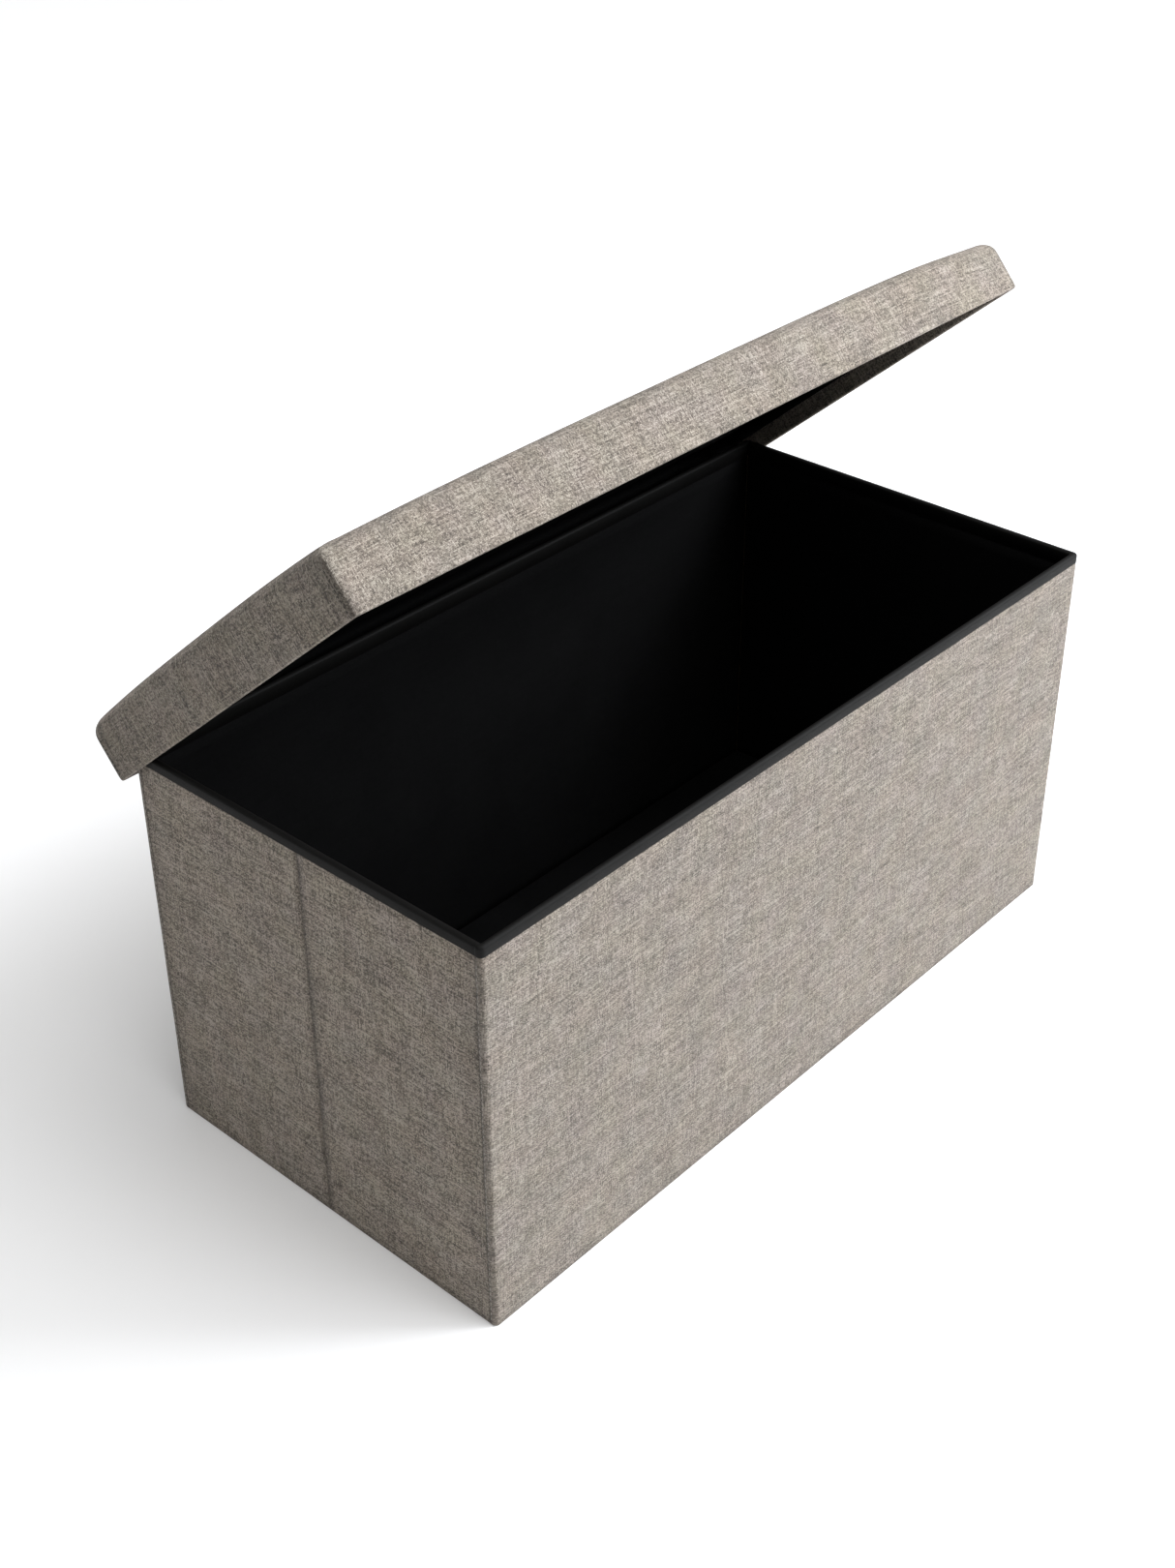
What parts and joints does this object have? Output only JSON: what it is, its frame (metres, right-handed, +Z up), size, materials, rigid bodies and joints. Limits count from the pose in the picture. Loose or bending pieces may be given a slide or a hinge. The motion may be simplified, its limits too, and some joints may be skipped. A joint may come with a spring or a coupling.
{
  "type": "ottoman with storage",
  "caption": "Long fold-flat fabric ottoman bench with a padded hinged lid, an open storage box, black lining and a bound rim.",
  "frame": {"origin": "middle of the body's underside, on the surface it stands on", "axes": "+X along the length, -Y the front, +Y the hinge side, +Z up"},
  "size_m": [0.76, 0.4098, 0.6102],
  "materials": {
    "linen": "matte woven linen look, warm grey with light and dark slubs",
    "liner": "matte non-woven",
    "binding": "soft satin, tightly woven",
    "base": "matte non-woven",
    "board": "raw fibreboard, covered",
    "foam": "open-cell foam, covered"
  },
  "bodies": {
    "rear_wall": {"rear_board": "board", "rear_cover": "linen", "rear_liner": "liner", "rear_binding": "binding", "base_cloth": "base", "floor_pad": "base", "body_tape": "binding"},
    "left_rear_panel": {"left_rear_board": "board", "left_rear_cover": "linen", "left_rear_liner": "liner", "left_rear_binding": "binding"},
    "left_front_panel": {"left_front_board": "board", "left_front_cover": "linen", "left_front_liner": "liner", "left_front_binding": "binding"},
    "front_wall": {"front_board": "board", "front_cover": "linen", "front_liner": "liner", "front_binding": "binding"},
    "right_rear_panel": {"right_rear_board": "board", "right_rear_cover": "linen", "right_rear_liner": "liner", "right_rear_binding": "binding"},
    "right_front_panel": {"right_front_board": "board", "right_front_cover": "linen", "right_front_liner": "liner", "right_front_binding": "binding"},
    "lid": {"lid_board": "board", "lid_foam": "foam", "lid_cover": "linen", "lid_lining": "liner", "lid_front_strip": "board", "lid_rear_strip": "board", "lid_left_strip": "board", "lid_right_strip": "board", "lid_tape": "binding"}
  },
  "joints": [
    {"name": "lid_hinge", "type": "hinge", "parent": "rear_wall", "child": "lid", "pos_m": [0, 0.1876, 0.319], "axis": [-1, 0, 0], "range_deg": [-41, 124]},
    {"name": "end_fold", "type": "hinge", "parent": "rear_wall", "child": "left_rear_panel", "pos_m": [-0.3668, 0.1772, 0], "axis": [0, 0, 1], "range_deg": [0, 90], "deforming": ["floor_pad", "base_cloth"]},
    {"name": "left_centre_fold", "type": "hinge", "parent": "left_rear_panel", "child": "left_front_panel", "pos_m": [-0.37325, 0, 0], "axis": [0, 0, 1], "range_deg": [-180, 0]},
    {"name": "front_wall_turn", "type": "hinge", "parent": "left_front_panel", "child": "front_wall", "pos_m": [-0.3668, -0.1772, 0], "axis": [0, 0, 1], "range_deg": [0, 90]},
    {"name": "right_rear_fold", "type": "hinge", "parent": "rear_wall", "child": "right_rear_panel", "pos_m": [0.3668, 0.1772, 0], "axis": [0, 0, 1], "range_deg": [-90, 0]},
    {"name": "right_centre_fold", "type": "hinge", "parent": "right_rear_panel", "child": "right_front_panel", "pos_m": [0.37325, 0, 0], "axis": [0, 0, 1], "range_deg": [0, 180]}
  ],
  "couplings": [
    {"joint": "left_centre_fold", "follows": "end_fold", "ratio": -2},
    {"joint": "front_wall_turn", "follows": "end_fold", "ratio": 1},
    {"joint": "right_rear_fold", "follows": "end_fold", "ratio": -1},
    {"joint": "right_centre_fold", "follows": "end_fold", "ratio": 2}
  ]
}
